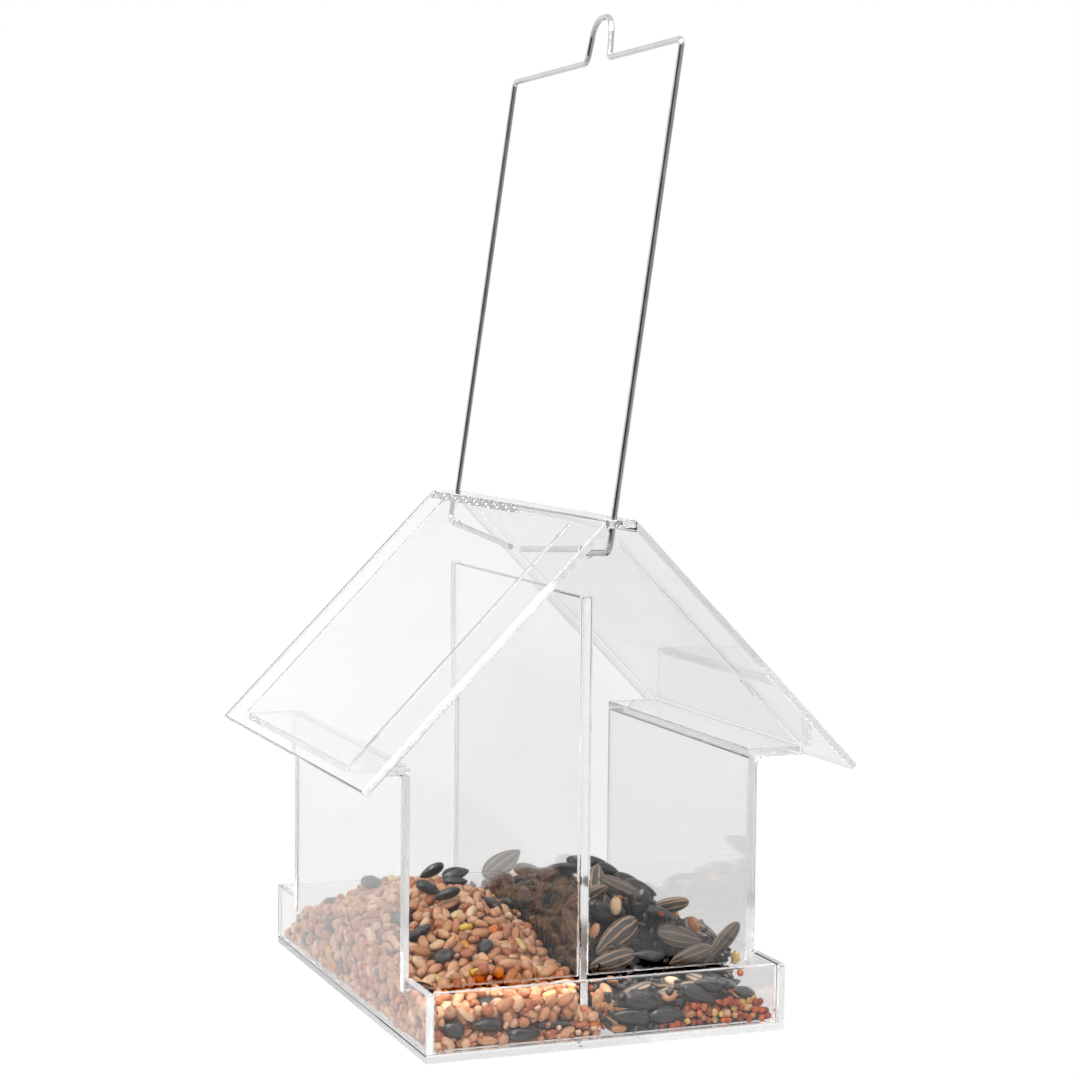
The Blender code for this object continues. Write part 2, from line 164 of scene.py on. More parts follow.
class Nodes:
    """Short names for building one node tree."""

    def __init__(self, tree):
        self.tree = tree
        tree.nodes.clear()

    def add(self, kind):
        return self.tree.nodes.new("ShaderNode" + kind)

    def link(self, source, target):
        self.tree.links.new(source, target)

    def put(self, value, target):
        """Sets a socket to a plain value, or links another socket to it."""
        if isinstance(value, bpy.types.NodeSocket):
            self.link(value, target)
        elif isinstance(value, (tuple, list)) and len(value) == 3 and target.type == "RGBA":
            target.default_value = (*value, 1.0)
        else:
            target.default_value = value

    def math(self, operation, *values, clamp=False):
        node = self.add("Math")
        node.operation = operation
        node.use_clamp = clamp
        for value, target in zip(values, node.inputs):
            self.put(value, target)
        return node.outputs[0]

    def dot(self, vector, direction):
        node = self.add("VectorMath")
        node.operation = "DOT_PRODUCT"
        self.link(vector, node.inputs[0])
        node.inputs[1].default_value = direction
        return node.outputs["Value"]

    def place(self):
        return self.add("TexCoord").outputs["Object"]

    def separate(self, vector):
        node = self.add("SeparateXYZ")
        self.link(vector, node.inputs[0])
        return node.outputs

    def stretched(self, vector, scale):
        node = self.add("Mapping")
        self.put(vector, node.inputs["Vector"])
        node.inputs["Scale"].default_value = scale
        return node.outputs[0]

    def noise(self, vector, scale, detail=3.0, roughness=0.55):
        node = self.add("TexNoise")
        self.put(vector, node.inputs["Vector"])
        node.inputs["Scale"].default_value = scale
        node.inputs["Detail"].default_value = detail
        node.inputs["Roughness"].default_value = roughness
        return node.outputs["Fac"]

    def spread(self, value, low, high, to_low=0.0, to_high=1.0):
        """Maps low..high smoothly to to_low..to_high."""
        node = self.add("MapRange")
        node.interpolation_type = "SMOOTHSTEP"
        self.put(value, node.inputs["Value"])
        self.put(low, node.inputs["From Min"])
        self.put(high, node.inputs["From Max"])
        self.put(to_low, node.inputs["To Min"])
        self.put(to_high, node.inputs["To Max"])
        return node.outputs[0]

    def blend(self, factor, first, second, mode="MIX"):
        node = self.add("Mix")
        node.data_type = "RGBA"
        node.blend_type = mode
        self.put(factor, node.inputs[0])
        self.put(first, node.inputs[6])
        self.put(second, node.inputs[7])
        return node.outputs[2]

    def ramp(self, value, stops):
        node = self.add("ValToRGB")
        self.put(value, node.inputs[0])
        points = node.color_ramp.elements
        while len(points) < len(stops):
            points.new(0.5)
        for point, (position, colour) in zip(points, stops):
            point.position = position
            point.color = (*colour, 1.0)
        return node.outputs[0]

    def tint(self):
        """Each seed's own random number."""
        node = self.add("Attribute")
        node.attribute_name = "tint"
        return node.outputs["Fac"]

    def seed_uv(self):
        """How far along and how far round its seed a point is, each from 0 to 1."""
        node = self.add("UVMap")
        node.uv_map = "seed_uv"
        along, around, _ = self.separate(node.outputs[0])
        return along, around


class SurfaceNodes(Nodes):
    """The node tree of a new material, with its shader."""

    def __init__(self, name):
        self.material = bpy.data.materials.new(name)
        self.material.use_nodes = True
        super().__init__(self.material.node_tree)
        self.shader = self.add("BsdfPrincipled")
        self.link(self.shader.outputs[0], self.add("OutputMaterial").inputs["Surface"])

    def bump(self, height, strength, distance):
        node = self.add("Bump")
        self.put(height, node.inputs["Height"])
        node.inputs["Strength"].default_value = strength
        node.inputs["Distance"].default_value = distance
        self.link(node.outputs[0], self.shader.inputs["Normal"])

    def set(self, **values):
        for name, value in values.items():
            self.put(value, self.shader.inputs[name.replace("_", " ")])


# ------------------------------------------------------------------- materials


def acrylic_material(name, across, tone, edge_tone, frost):
    """Clear cast sheet. across is its thickness direction; frost is the share its cut edges scatter."""
    n = SurfaceNodes(name)
    place = n.place()
    facing = n.dot(n.add("NewGeometry").outputs["True Normal"], across)
    edge = n.spread(n.math("ABSOLUTE", facing), 0.25, 0.75, 1.0, 0.0)
    haze = n.spread(n.noise(place, 38.0, 4.0, 0.6), 0.52, 0.80)
    scratches = n.spread(n.noise(n.stretched(place, (900.0, 60.0, 60.0)), 1.0, 2.0), 0.70, 0.86)
    marks = n.math("ADD", n.math("MULTIPLY", haze, 0.035), n.math("MULTIPLY", scratches, 0.05))
    cloud = n.spread(n.noise(place, 21.0, 3.0, 0.5), 0.35, 0.75)
    clouded = n.blend(cloud, (tone, tone, tone), (tone - 0.02, tone - 0.02, tone - 0.023))
    n.set(
        Base_Color=n.blend(edge, clouded, (edge_tone, edge_tone, edge_tone)),
        Roughness=n.math("ADD", n.math("MULTIPLY", edge, 0.16), marks, clamp=True),
        Transmission_Weight=n.spread(edge, 0.0, 1.0, 1.0, 1.0 - frost),
        IOR=1.49,
    )
    return n.material


def wire_material():
    """Drawn wire with a dull zinc coat: clouded, with fine marks along it."""
    n = SurfaceNodes("galvanised_wire")
    place = n.place()
    cloud = n.noise(place, 160.0, 4.0, 0.6)
    streaks = n.noise(n.stretched(place, (1800.0, 1800.0, 40.0)), 1.0, 3.0)
    shades = [(0.3, (0.46, 0.46, 0.455)), (0.6, (0.56, 0.56, 0.55)), (0.8, (0.64, 0.635, 0.62))]
    n.set(
        Base_Color=n.ramp(cloud, shades),
        Metallic=1.0,
        Roughness=n.spread(streaks, 0.3, 0.75, 0.08, 0.20),
    )
    n.bump(streaks, 0.10, 0.0001)
    return n.material


def grain_material(name, shades, crease=0.0, roughness=0.45, mottle=0.35):
    """A dry grain: its own tint for each grain, mottled, with darker tips and maybe a crease darkened as
    painted shade.
    """
    n = SurfaceNodes(name)
    place = n.place()
    along, around = n.seed_uv()
    spots = n.spread(n.noise(place, 420.0, 3.0, 0.6), 0.35, 0.75, 0.0, mottle)
    colour = n.blend(spots, n.ramp(n.tint(), shades), (0.80, 0.62, 0.47), "MULTIPLY")
    from_middle = n.math("ABSOLUTE", n.math("SUBTRACT", along, 0.5))
    colour = n.blend(n.spread(from_middle, 0.36, 0.5, 0.0, 0.55), colour, (0.26, 0.13, 0.07))
    if crease:
        # Painted shade: the colour is darkened along the crease's groove
        from_crease = n.math("ABSOLUTE", n.math("SUBTRACT", around, 0.75))
        colour = n.blend(n.spread(from_crease, 0.0, 0.07, crease, 0.0), colour, (0.20, 0.09, 0.05))
    n.set(Base_Color=colour, Roughness=roughness, Specular_IOR_Level=0.4)
    n.bump(n.noise(place, 1100.0, 2.0), 0.35, 0.0002)
    return n.material


def husk_material(name, dark, pale, edge_width, line_count, line_strength, roughness):
    """A sunflower seed's husk: fine pale lines along its length, pale edges and scuffs."""
    n = SurfaceNodes(name)
    place = n.place()
    along, around = n.seed_uv()
    tint = n.tint()
    wobble = n.math("MULTIPLY", n.math("SUBTRACT", n.noise(place, 260.0, 2.0), 0.5), 0.05)
    angle = n.math("ADD", around, wobble)
    wave = n.math("SINE", n.math("MULTIPLY", angle, 2 * math.pi * line_count))
    lines = n.spread(n.math("ADD", wave, n.math("MULTIPLY", n.noise(place, 500.0), 0.6)), 0.75, 1.25)
    edge = n.spread(n.math("PINGPONG", angle, 0.25), 0.0, edge_width, 1.0, 0.0)
    pale_share = n.math(
        "MAXIMUM",
        n.math("MULTIPLY", lines, n.math("MULTIPLY", n.math("ADD", 0.35, tint), line_strength)),
        n.math("MULTIPLY", edge, n.math("MULTIPLY", n.math("ADD", 0.55, tint), line_strength)),
        clamp=True,
    )
    scuffs = n.spread(n.noise(place, 330.0, 4.0, 0.65), 0.45, 0.8, 0.0, 0.35)
    colour = n.blend(pale_share, n.blend(scuffs, dark, (0.16, 0.15, 0.145)), pale)
    colour = n.blend(n.spread(along, 0.90, 1.0, 0.0, 0.5), colour, (0.25, 0.17, 0.10))
    n.set(Base_Color=colour, Roughness=roughness, Specular_IOR_Level=0.5)
    n.bump(n.math("ADD", n.math("MULTIPLY", wave, 0.25), n.noise(place, 900.0)), 0.4, 0.0002)
    return n.material


def shade_core_material(name, first, second):
    """Painted shade: rough, clouded darkness under the loose seed, dark in the gaps between the seeds."""
    n = SurfaceNodes(name)
    place = n.place()
    cloud = n.spread(n.noise(place, 300.0, 4.0), 0.35, 0.65)
    n.set(Base_Color=n.blend(cloud, first, second), Roughness=0.9)
    n.bump(n.noise(place, 240.0, 3.0), 0.8, 0.002)
    return n.material


def floor_material():
    """A light table: plain and pale, glowing evenly under the feeder; painted shade dims it in front of the
    feeder and a painted glow brightens it to the left.
    """
    n = SurfaceNodes("floor")
    x, y, _ = n.separate(n.place())
    along_x = n.math("MULTIPLY", x, math.sin(CAMERA_HEADING))
    along_y = n.math("MULTIPLY", y, math.cos(CAMERA_HEADING))
    # Painted light: the glow drops to painted shade ahead of the feeder and rises to a painted glow on the
    # left
    lit = n.spread(n.math("ADD", along_x, along_y), FLOOR_DARK_AHEAD, FLOOR_LIT_AHEAD, ROOM, BACKDROP)
    glow = n.spread(x, FLOOR_GLOW_X, FLOOR_PLAIN_X, LEFT_GLOW - BACKDROP, 0.0)
    cloud = n.spread(n.noise(n.place(), 6.0), 0.3, 0.7, 1.0, 1.02)
    n.set(
        Base_Color=(0.0, 0.0, 0.0),
        Roughness=1.0,
        Specular_IOR_Level=0.0,
        Emission_Color=(1.0, 1.0, 1.0),
        Emission_Strength=n.math("MULTIPLY", n.math("ADD", lit, n.math("MULTIPLY", lit, glow)), cloud),
    )
    return n.material


# ------------------------------------------------------------- seed templates


def seed_shape(size, radius_at, sides, rings, lens=0.0, crease=0.0):
    """Points, faces and per-corner UVs of one seed lying along X, size = (length, width, thickness)."""
    length, width, thickness = size

    def share(i):
        return (1 - math.cos(math.pi * i / rings)) / 2

    points = [(-length / 2, 0.0, 0.0)]
    for i in range(1, rings):
        t = share(i)
        r = radius_at(t)
        for j in range(sides):
            a = 2 * math.pi * j / sides
            y = width / 2 * r * math.cos(a)
            z = thickness / 2 * r * math.sin(a) * (1 - lens * math.cos(a) ** 2)
            z += crease * thickness * r * max(0.0, -math.sin(a)) ** 8
            points.append(((t - 0.5) * length, y, z))
    points.append((length / 2, 0.0, 0.0))
    last = len(points) - 1
    faces, uvs = [], []
    for j in range(sides):
        k = (j + 1) % sides
        v0, v1 = j / sides, (j + 1) / sides
        faces.append((0, 1 + k, 1 + j))
        uvs.append([(0.0, (v0 + v1) / 2), (share(1), v1), (share(1), v0)])
        for i in range(1, rings - 1):
            a, b = 1 + (i - 1) * sides, 1 + i * sides
            faces.append((a + j, a + k, b + k, b + j))
            uvs.append([(share(i), v0), (share(i), v1), (share(i + 1), v1), (share(i + 1), v0)])
        a = 1 + (rings - 2) * sides
        faces.append((a + j, a + k, last))
        uvs.append([(share(rings - 1), v0), (share(rings - 1), v1), (1.0, (v0 + v1) / 2)])
    return np.array(points), faces, uvs


def oval(t):
    return math.sqrt(max(0.0, 1 - (2 * t - 1) ** 2))


def chunk(t):
    """Nearly the same width all along, for a broken piece."""
    return oval(t) ** 0.5


def egg(t):
    """Round and broad at one end, narrowing to a blunt tip at the other."""
    broadest = 0.431
    return math.sqrt(t) * (1 - t) ** 0.75 / broadest


def balls_in(size):
    """The balls that stand for one seed while it is being placed: their radius and their centres."""
    length, width, thickness = size
    radius = thickness / 2
    reach_x = length / 2 - radius
    reach_y = width / 2 - radius
    along = 1 + math.ceil(2 * reach_x / (1.6 * radius)) if reach_x > 0.3 * radius else 1
    rows = 1 if reach_y < 0.4 * radius else 2
    places = []
    for i in range(along):
        x = reach_x * (2 * i / (along - 1) - 1) if along > 1 else 0.0
        narrowing = math.sqrt(max(0.0, 1 - (abs(x) / (length / 2)) ** 2))
        for j in range(rows):
            y = reach_y * (2 * j - 1) * narrowing if rows > 1 else 0.0
            places.append((x, y, 0.0))
    return radius, places


class SeedKind:
    """One sort of seed: its shape and material, and where each one has been put."""

    def __init__(self, name, body_slot, material, size, radius_at, sides, rings, **shaping):
        self.name = name
        self.body_slot = body_slot
        self.material = material
        self.size = tuple(s * MM for s in size)  # length, width, thickness
        self.points, self.faces, self.uvs = seed_shape(self.size, radius_at, sides, rings, **shaping)
        self.radius, self.balls = balls_in(self.size)
        self.tilt = 0.35  # how far it may lean away from lying flat, in radians
        self.placed = []

    def renamed(self, name):
        """The same sort of seed, kept as a piece of its own."""
        other = copy.copy(self)
        other.name = name
        other.placed = []
        return other


def make_grain_kinds():
    wheat_shades = [
        (0.0, (0.54, 0.22, 0.100)),
        (0.35, (0.69, 0.33, 0.170)),
        (0.7, (0.82, 0.46, 0.26)),
        (1.0, (0.90, 0.63, 0.41)),
    ]
    milo_shades = [(0.0, (0.44, 0.12, 0.045)), (0.5, (0.64, 0.26, 0.13)), (1.0, (0.82, 0.54, 0.35))]
    millet_shades = [(0.0, (0.32, 0.045, 0.012)), (0.75, (0.62, 0.13, 0.035)), (0.9, (0.78, 0.50, 0.18))]
    maize_shades = [
        (0.0, (0.80, 0.15, 0.012)),
        (0.45, (0.90, 0.34, 0.015)),
        (0.7, (0.90, 0.58, 0.03)),
        (1.0, (0.86, 0.70, 0.36)),
    ]
    wheat_look = grain_material("wheat", wheat_shades, crease=0.6, roughness=0.36)
    milo_look = grain_material("milo", milo_shades, roughness=0.34)
    millet_look = grain_material("red_millet", millet_shades)
    maize_look = grain_material("maize", maize_shades, roughness=0.3, mottle=0.1)
    wheat = SeedKind(
        "wheat_grains", "seed_mix", wheat_look, (6.2, 3.4, 3.1), oval, 10, 7, crease=0.16
    )
    wheat.tilt = 0.5
    milo = SeedKind("milo_grains", "seed_mix", milo_look, (4.2, 3.7, 3.4), oval, 9, 6)
    crumbs = SeedKind("grain_crumbs", "seed_mix", milo_look, (2.3, 1.8, 1.5), chunk, 6, 4)
    maize = SeedKind("maize_bits", "seed_mix", maize_look, (4.8, 3.6, 2.4), chunk, 6, 4, lens=0.25)
    millet = SeedKind("millet_grains", "sunflower_seed", millet_look, (2.4, 2.2, 2.1), oval, 8, 5)
    return wheat, milo, crumbs, maize, millet


def make_sunflower_kinds():
    black_look = husk_material(
        "black_husk", (0.024, 0.023, 0.0225), (0.16, 0.14, 0.12),
        edge_width=0.02, line_count=9, line_strength=0.4, roughness=0.28,
    )
    striped_look = husk_material(
        "striped_husk", (0.120, 0.100, 0.086), (0.60, 0.40, 0.26),
        edge_width=0.045, line_count=9, line_strength=0.85, roughness=0.42,
    )
    black = SeedKind(
        "black_sunflower", "sunflower_seed", black_look, (11.6, 6.0, 3.9), egg, 12, 9, lens=0.25
    )
    striped = SeedKind(
        "striped_sunflower", "sunflower_seed", striped_look, (16.0, 8.8, 4.4), egg, 16, 12, lens=0.3
    )
    husk_bits = SeedKind("husk_bits", "sunflower_seed", black_look, (3.0, 2.0, 1.4), chunk, 6, 4)
    return black, striped, husk_bits


# ---------------------------------------------------------------- the seed bed


def heap_tree(node):
    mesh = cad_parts[node].data
    corners = [v.co.copy() for v in mesh.vertices]
    return BVHTree.FromPolygons(corners, [tuple(p.vertices) for p in mesh.polygons])


class Bed:
    """Places seeds inside one CAD heap, without letting the balls that stand for them overlap much."""

    def __init__(self, node, seed):
        self.low, self.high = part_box(node)
        self.tree = heap_tree(node)
        self.rng = np.random.default_rng(seed)
        self.cells = {}
        front, back = (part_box(gable) for gable in GABLES)
        self.slabs = [(front[0].y, front[1].y), (back[0].y, back[1].y)]
        self.slab_z = front[0].z
        self.open_low = self.low.x - PAST_DIVIDER if self.low.x > 0 else self.low.x
        self.open_high = self.high.x + PAST_DIVIDER if self.high.x < 0 else self.high.x
        width = self.high.x - self.low.x
        depth = self.high.y - self.low.y
        height = self.high.z - self.low.z
        # How often each side of the bed is tried: its rough area, more where it shows more
        self.sides = [
            (self.spot_on_top, width * depth),
            (self.spot_on_side, 1.4 * depth * height),
            (self.spot_on_end, 1.2 * width * height),
            (self.spot_on_gable, 1.6 * width * height),
            (self.spot_on_floor, 0.3 * width * depth),
            (self.spot_in_corner, 0.035 * (width + depth)),
            (self.spot_under_gable, 0.9 * width * height),
        ]
        self.total_area = sum(area for _, area in self.sides)

    def top(self, x, y):
        for low, high in self.slabs:
            if low - FROM_GABLE < y < high + FROM_GABLE:
                y = low - FROM_GABLE if y < (low + high) / 2 else high + FROM_GABLE
        x = min(max(x, self.low.x + FROM_EDGE), self.high.x - FROM_EDGE)
        hit = self.tree.ray_cast(Vector((x, y, 1.0)), DOWN)[0]
        return hit.z if hit else self.low.z

    def across_at(self, y, from_gable=0.0):
        """The bed's width at y, wider in the tray, where the divider has ended."""
        in_tray = y < self.slabs[0][0] - from_gable or y > self.slabs[1][1] + from_gable
        return (self.open_low, self.open_high) if in_tray else (self.low.x, self.high.x)

    def random_x(self):
        return self.rng.uniform(self.low.x, self.high.x)

    def random_y(self):
        return self.rng.uniform(self.low.y, self.high.y)

    def happens(self, chance):
        return self.rng.uniform() < chance

    # Each of these gives a random spot on the bed's outside, and the way out of the bed there.

    def spot_on_top(self):
        x = self.random_x()
        y = self.random_y()
        slope_x = (self.top(x + TOP_STEP, y) - self.top(x - TOP_STEP, y)) / (2 * TOP_STEP)
        slope_y = (self.top(x, y + TOP_STEP) - self.top(x, y - TOP_STEP)) / (2 * TOP_STEP)
        gentle = abs(slope_x) + abs(slope_y) < STEEPEST
        outward = Vector((-slope_x, -slope_y, 1.0)) if gentle else UP.copy()
        return Vector((x, y, self.top(x, y))), outward.normalized()

    def spot_on_side(self):
        y = self.random_y()
        low_x, high_x = self.across_at(y)
        x, outward = (low_x, -1.0) if self.happens(0.5) else (high_x, 1.0)
        z = self.rng.uniform(self.low.z, self.top(x - outward * FROM_SIDE, y))
        return Vector((x, y, z)), Vector((outward, 0, 0))

    def spot_on_end(self):
        y, outward = (self.low.y, -1.0) if self.happens(0.5) else (self.high.y, 1.0)
        x = self.random_x()
        z = self.rng.uniform(self.low.z, self.top(x, y - outward * FROM_SIDE))
        return Vector((x, y, z)), Vector((0, outward, 0))

    def spot_on_gable(self):
        y, outward = (self.slabs[0][1], -1.0) if self.happens(0.5) else (self.slabs[1][0], 1.0)
        x = self.random_x()
        top = max(self.slab_z, self.top(x, y - outward * 2 * FROM_SIDE))
        z = self.rng.uniform(self.slab_z - BELOW_GABLE, top)
        return Vector((x, y, z)), Vector((0, outward, 0))

    def spot_under_gable(self):
        low, high = self.slabs[0] if self.happens(0.6) else self.slabs[1]
        x = self.random_x()
        y = self.rng.uniform(low - UNDER_GABLE_AHEAD, high + UNDER_GABLE_BEHIND)
        z = self.rng.uniform(self.slab_z - UNDER_GABLE_DOWN, self.slab_z)
        return Vector((x, y, z)), UP.copy()

    def spot_in_corner(self):
        """Along the foot of the walls and the tray's ends, where the floor meets them."""
        x = self.random_x()
        y = self.random_y()
        width = self.high.x - self.low.x
        depth = self.high.y - self.low.y
        if self.happens(0.6 * width / depth + 0.2):
            y, side = (self.low.y, -1) if self.happens(0.7) else (self.high.y, 1)
            outward = Vector((0, side, -1))
        else:
            x, side = (self.low.x, -1) if self.happens(0.5) else (self.high.x, 1)
            outward = Vector((side, 0, -1))
        return Vector((x, y, self.low.z)) - outward * SHEET_CLEARANCE, outward

    def spot_on_floor(self):
        x = self.random_x()
        y = self.random_y()
        return Vector((x, y, self.low.z)), DOWN.copy()

    def spot(self):
        share = self.rng.uniform(0, self.total_area)
        for pick, area in self.sides:
            share -= area
            if share <= 0:
                return pick()
        return self.spot_on_top()

    def inside(self, ball, radius, proud):
        """Whether a ball is within the heap, at most proud above it, and clear of every sheet."""
        x, y, z = ball
        low_x, high_x = self.across_at(y, from_gable=radius)
        if not low_x + radius <= x <= high_x - radius:
            return False
        ahead = self.slabs[0][0] - y
        if ahead > 0 and abs(x - GULLY_TURN * ahead) < GULLY_HALF + radius:
            if z + radius > GULLY_FLOOR + GULLY_RISE * ahead:
                return False
        if not self.low.y + radius <= y <= self.high.y - radius:
            return False
        if z < self.low.z + radius - INTO_FLOOR or z > self.top(x, y) + proud:
            return False
        if z + radius > self.slab_z - SHEET_CLEARANCE:
            for low, high in self.slabs:
                if low - radius - SHEET_CLEARANCE < y < high + radius + SHEET_CLEARANCE:
                    return False
        return True

    def clear(self, ball, radius, squeeze):
        """Whether no ball already there is nearer than squeeze times touching distance."""
        i, j, k = self.cell_of(ball)
        for di in (-1, 0, 1):
            for dj in (-1, 0, 1):
                for dk in (-1, 0, 1):
                    for other, r in self.cells.get((i + di, j + dj, k + dk), ()):
                        gap = (radius + r) * squeeze
                        dx, dy, dz = ball[0] - other[0], ball[1] - other[1], ball[2] - other[2]
                        if dx * dx + dy * dy + dz * dz < gap * gap:
                            return False
        return True

    def cell_of(self, ball):
        return tuple(int(c // CELL) for c in ball)

    def balls_of(self, kind, centre, turn, scale):
        """Where one seed's balls come when it is put there, and their radius."""
        balls = [tuple(turn @ Vector([p * s for p, s in zip(ball, scale)]) + centre) for ball in kind.balls]
        return balls, kind.radius * scale[2]

    def keep(self, kind, centre, turn, scale, balls, radius):
        for ball in balls:
            self.cells.setdefault(self.cell_of(ball), []).append((ball, radius))
        kind.placed.append((np.array(centre), np.array(turn), np.array(scale), self.rng.uniform()))

    def put(self, kind, place, heading, dip, roll, scale):
        """One seed at a chosen place in mm, its point turned to heading and dipped, in degrees."""
        centre = Vector(place) * MM
        turn = (
            Matrix.Rotation(math.radians(heading), 3, "Z")
            @ Matrix.Rotation(math.radians(dip), 3, "Y")
            @ Matrix.Rotation(math.radians(roll), 3, "X")
        )
        self.keep(kind, centre, turn, scale, *self.balls_of(kind, centre, turn, scale))

    def fill(self, kind, tries, wanted, squeeze=0.84, depth=0.004, proud=0.0006):
        """Tries seeds at random on the bed's outside, sunk to at most depth. wanted gives their share."""
        rng = self.rng
        for _ in range(tries):
            spot, outward = self.spot()
            if rng.uniform() > wanted(spot.x / MM, spot.y / MM, spot.z / MM, outward):
                continue
            scale = rng.normal(1.0, 0.07, 3).clip(0.8, 1.2)
            lean = Vector(rng.normal(0, kind.tilt, 3))
            up = (outward.normalized() + lean - lean.project(outward)).normalized()
            spin = Matrix.Rotation(rng.uniform(0, 2 * math.pi), 3, up)
            across = up.orthogonal().normalized()
            across.rotate(spin)
            turn = Matrix((across, up.cross(across), up)).transposed()
            sunk = kind.radius * scale[2] + depth * rng.uniform() ** 1.5
            centre = spot - outward * sunk
            balls, radius = self.balls_of(kind, centre, turn, scale)
            if all(self.inside(ball, radius, proud) and self.clear(ball, radius, squeeze) for ball in balls):
                self.keep(kind, centre, turn, scale, balls, radius)


# Which share of the tried spots a kind of seed takes, at a spot in mm with its way out of the bed


def anywhere(x, y, z, outward):
    return 1.0


def at_the_foot(x, y, z, outward):
    return 1.0 if z < 7 else 0.15


def black_in_the_mix(x, y, z, outward):
    return 0.25 if outward.z > 0.5 and x > -30 else 0.12


def striped_up_high(x, y, z, outward):
    return 0.6 if z > 16 else 0.05


def wheat_by_the_divider(x, y, z, outward):
    return 1.0 if y < -66 and x < 17 - 1.4 * z else 0.03


def millet_in_the_tray_corners(x, y, z, outward):
    return 1.0 if x > 14 + 1.5 * z and z < 10 and (y < -66 or y > 66) else 0.004


def evenly(share):
    """The same share everywhere."""
    return lambda x, y, z, outward: share


def fill_left(wheat, milo, crumbs, maize, black):
    bed = Bed("seed_mix_heap", 11)
    for place, heading, dip, roll, scale in BLACK_IN_THE_MIX:
        bed.put(black, place, heading, dip, roll, scale)
    bed.fill(black, 700, black_in_the_mix, proud=0.001)
    bed.fill(maize, 700, evenly(0.4))
    bed.fill(wheat, 45000, anywhere, squeeze=0.80, depth=0.003)
    bed.fill(milo, 40000, anywhere, squeeze=0.78, depth=0.004)
    bed.fill(wheat, 25000, anywhere, squeeze=0.76, depth=0.007)
    bed.fill(crumbs, 22000, at_the_foot, squeeze=0.8, depth=0.004)


def fill_right(wheat, maize, millet, black, striped, husk_bits):
    bed = Bed("sunflower_seed_heap", 23)
    for place, heading, dip, roll, scale in STRIPED_ON_TOP:
        bed.put(striped, place, heading, dip, roll, scale)
    for place, heading, dip, roll, scale in BLACK_ON_TOP:
        bed.put(black, place, heading, dip, roll, scale)
    bed.put(maize, *MAIZE_BY_THE_WALL)
    bed.fill(striped, 1800, striped_up_high, proud=0.002)
    bed.fill(wheat, 9000, wheat_by_the_divider, squeeze=0.8)
    bed.fill(millet, 9000, millet_in_the_tray_corners)
    bed.fill(black, 26000, evenly(0.9), squeeze=0.80, proud=0.0015)
    bed.fill(maize, 500, evenly(0.15))
    bed.fill(millet, 14000, millet_in_the_tray_corners)
    bed.fill(black, 25000, anywhere, squeeze=0.76, depth=0.008)
    bed.fill(husk_bits, 22000, at_the_foot, squeeze=0.8, depth=0.004)


# ------------------------------------------------------------ the seed's meshes


def add_piece(name, mesh, material):
    mesh.materials.append(material)
    piece = bpy.data.objects.new(name, mesh)
    bpy.context.scene.collection.objects.link(piece)
    return piece


def build_pieces(kind):
    """All the seeds of one kind, as one mesh or as a few where there are very many."""
    triangles = sum(len(face) - 2 for face in kind.faces)
    share = math.ceil(len(kind.placed) * triangles / TRIANGLES_PER_PIECE)
    for number in range(share):
        name = kind.name if share == 1 else f"{kind.name}_{number + 1}"
        build_piece(kind, name, kind.placed[number::share])


def build_piece(kind, name, placed):
    count = len(placed)
    size = len(kind.points)
    coords = np.empty((count * size, 3))
    tints = np.empty(count * size, np.float32)
    for i, (centre, turn, scale, tint) in enumerate(placed):
        coords[i * size : (i + 1) * size] = (kind.points * scale) @ turn.T + centre
        tints[i * size : (i + 1) * size] = tint
    faces = [tuple(v + i * size for v in face) for i in range(count) for face in kind.faces]
    mesh = bpy.data.meshes.new(name)
    mesh.from_pydata(coords.tolist(), [], faces)
    uv = mesh.uv_layers.new(name="seed_uv")
    flat = [c for corners in kind.uvs for pair in corners for c in pair]
    uv.data.foreach_set("uv", np.tile(np.array(flat, np.float32), count))
    mesh.attributes.new("tint", "FLOAT", "POINT").data.foreach_set("value", tints)
    mesh.polygons.foreach_set("use_smooth", [True] * len(mesh.polygons))
    mesh.update()
    piece = add_piece(name, mesh, kind.material)
    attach(piece, "house")


def core_points(node):
    """The core's upper surface, row by row, and then its foot, as many points again."""
    low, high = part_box(node)
    slabs = [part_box(gable) for gable in GABLES]
    under_slabs = slabs[0][0].z - CORE_FROM_TOP
    tree = heap_tree(node)
    bottom = low.z + CORE_FROM_FLOOR
    points = []
    for x in np.linspace(low.x + CORE_FROM_WALLS, high.x - CORE_FROM_WALLS, CORE_ACROSS):
        for y in np.linspace(low.y + CORE_FROM_WALLS, high.y - CORE_FROM_WALLS, CORE_ALONG):
            hit = tree.ray_cast(Vector((x, y, 1.0)), DOWN)[0]
            z = (hit.z if hit else low.z) - CORE_FROM_TOP
            for slab_low, slab_high in slabs:
                if slab_low.y - CORE_FROM_WALLS < y < slab_high.y + CORE_FROM_WALLS:
                    z = min(z, under_slabs)
            points.append((x, y, max(z, bottom + CORE_THINNEST)))
    for x in np.linspace(low.x + CORE_FOOT_FROM_WALLS, high.x - CORE_FOOT_FROM_WALLS, CORE_ACROSS):
        for y in np.linspace(low.y + CORE_FOOT_FROM_WALLS, high.y - CORE_FOOT_FROM_WALLS, CORE_ALONG):
            points.append((x, y, bottom))
    return points


def core_faces(across, along):
    """Closes an upper and a lower grid of points, given one after the other, into one body."""
    count = across * along
    faces = []
    for i in range(across - 1):
        for j in range(along - 1):
            a = i * along + j
            faces.append((a, a + along, a + along + 1, a + 1))
            faces.append((count + a, count + a + 1, count + a + along + 1, count + a + along))
    for i in range(across - 1):
        a, b = i * along, (i + 1) * along
        faces.append((a, count + a, count + b, b))
        a, b = a + along - 1, b + along - 1
        faces.append((b, count + b, count + a, a))
    for j in range(along - 1):
        a, b = j, j + 1
        faces.append((a, b, count + b, count + a))
        a, b = a + (across - 1) * along, b + (across - 1) * along
        faces.append((count + a, count + b, b, a))
    return faces


